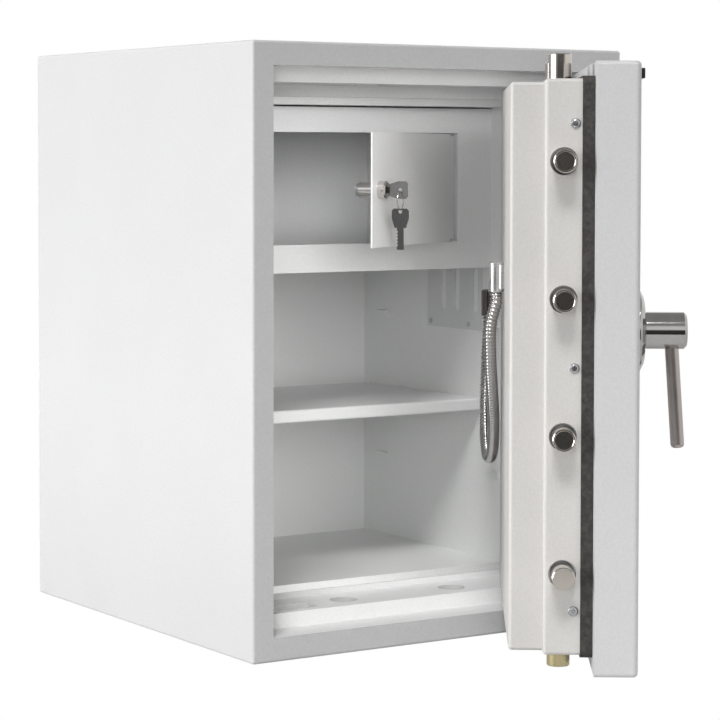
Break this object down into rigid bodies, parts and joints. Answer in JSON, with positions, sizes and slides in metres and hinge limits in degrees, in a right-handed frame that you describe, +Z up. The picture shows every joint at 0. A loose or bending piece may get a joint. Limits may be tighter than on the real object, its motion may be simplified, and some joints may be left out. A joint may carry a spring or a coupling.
{
  "type": "fireproof safe",
  "caption": "Fireproof safe with its thick door open: sliding bolts, lever handle, shelf, inner locker with a cam lock and a ribbed conduit.",
  "frame": {"origin": "middle of the body's underside, on the floor", "axes": "+X to the right seen from the front, +Y from the front to the back, +Z up; the door stands open 55 degrees about the hinge axis at the front right"},
  "size_m": [0.5378, 0.9727, 0.7199],
  "materials": {
    "casing": "light grey fine-textured powder coat, satin",
    "filling": "fire-resistant mineral filling, matt, sealed inside",
    "frame": "light grey powder coat, satin",
    "liner": "grey powder coat, satin",
    "locker": "light grey powder coat, satin",
    "case": "light grey powder coat, satin",
    "seal": "black, matt",
    "black_trim": "black, satin",
    "steel": "plain machined steel",
    "zinc": "bright zinc-plated steel",
    "bright": "polished nickel",
    "brass": "plain machined brass",
    "conduit": "ribbed galvanised steel"
  },
  "bodies": {
    "safe_body": {"outer_casing": "casing", "base_plate": "casing", "fire_fill": "filling", "door_frame": "frame", "frame_ledge": "frame", "anchor_sleeves": "zinc", "inner_liner": "liner", "side_cover_plate": "liner", "cover_plate_screws": "zinc", "shelf_clips": "liner", "upper_shelf": "locker", "locker_box": "liner", "locker_front": "locker", "body_knuckles": "casing", "hinge_pins": "steel", "wall_elbow": "zinc"},
    "locker_hinge": {"locker_pins": "zinc"},
    "locker_door": {"locker_leaf": "locker", "cam_lock_body": "bright"},
    "cam": {"cam_plug": "bright", "cam_arm": "zinc", "locker_key": "bright"},
    "ring": {"key_ring": "bright"},
    "hanging_key": {"spare_key": "bright"},
    "main_door": {"door_knuckles": "casing", "door_skin": "casing", "door_fill": "filling", "door_back_plate": "casing", "door_seal": "seal", "bolt_case": "case", "bolt_guides": "zinc", "case_screws": "zinc", "inner_cover": "case", "door_ferrule": "bright", "front_plate": "black_trim", "lock_escutcheon": "bright", "lock_case": "zinc", "handle_rosette": "bright", "conduit_hose": "conduit"},
    "keyhole_cover": {"escutcheon_cover": "bright"},
    "handle": {"handle_hub": "bright", "handle_lever": "bright", "handle_spindle": "steel", "drive_disc": "zinc"},
    "side_bolt_work": {"side_bolts": "bright", "side_bar": "zinc"},
    "top_bolt_work": {"top_bolts": "bright", "top_bar": "zinc"},
    "bottom_bolt_work": {"bottom_bolt": "brass", "bottom_bar": "zinc"},
    "key_bolt": {"lock_bolt": "brass"}
  },
  "joints": [
    {"name": "door_hinge", "type": "hinge", "parent": "safe_body", "child": "main_door", "pos_m": [0.257, -0.292, 0.36], "axis": [0, 0, 1], "range_deg": [-55, 95], "deforming": ["conduit_hose"]},
    {"name": "handle_turn", "type": "hinge", "parent": "main_door", "child": "handle", "pos_m": [0.01704, -0.619, 0.397], "axis": [0.8192, -0.5736, 0], "range_deg": [0, 90]},
    {"name": "side_bolt_slide", "type": "slide", "parent": "main_door", "child": "side_bolt_work", "axis": [0.5736, 0.8192, 0], "range_m": [0, 0.0341]},
    {"name": "top_bolt_slide", "type": "slide", "parent": "main_door", "child": "top_bolt_work", "axis": [0, 0, -1], "range_m": [0, 0.0281]},
    {"name": "bottom_bolt_slide", "type": "slide", "parent": "main_door", "child": "bottom_bolt_work", "axis": [0, 0, 1], "range_m": [0, 0.0181]},
    {"name": "key_bolt_slide", "type": "slide", "parent": "main_door", "child": "key_bolt", "axis": [-0.5736, -0.8192, 0], "range_m": [0, 0.01]},
    {"name": "keyhole_cover_swing", "type": "hinge", "parent": "main_door", "child": "keyhole_cover", "pos_m": [0.05936, -0.56379, 0.443], "axis": [0.8192, -0.5736, 0], "range_deg": [0, 90]},
    {"name": "locker_hinge_follow", "type": "hinge", "parent": "safe_body", "child": "locker_hinge", "pos_m": [0.1345, -0.103, 0.547], "axis": [0, 0, 1], "range_deg": [-37, 63]},
    {"name": "locker_door_swing", "type": "hinge", "parent": "locker_hinge", "child": "locker_door", "pos_m": [0.1345, -0.103, 0.547], "axis": [0, 0, -1], "range_deg": [0, 36]},
    {"name": "cam_turn", "type": "hinge", "parent": "locker_door", "child": "cam", "pos_m": [-0.08504, -0.26869, 0.547], "axis": [-0.5878, 0.809, 0], "range_deg": [0, 180]},
    {"name": "ring_swing", "type": "hinge", "parent": "cam", "child": "ring", "pos_m": [-0.06976, -0.28972, 0.547], "axis": [-0.809, -0.5878, 0], "range_deg": [-12, 40]},
    {"name": "spare_key_swing", "type": "hinge", "parent": "ring", "child": "hanging_key", "pos_m": [-0.06976, -0.28972, 0.5216], "axis": [-0.809, -0.5878, 0], "range_deg": [-4, 30]}
  ],
  "couplings": [
    {"joint": "side_bolt_slide", "follows": "handle_turn", "m_per_rad": 0.021645},
    {"joint": "top_bolt_slide", "follows": "handle_turn", "m_per_rad": 0.017825},
    {"joint": "bottom_bolt_slide", "follows": "handle_turn", "m_per_rad": 0.011459},
    {"joint": "locker_hinge_follow", "follows": "door_hinge", "ratio": 0.65455}
  ]
}
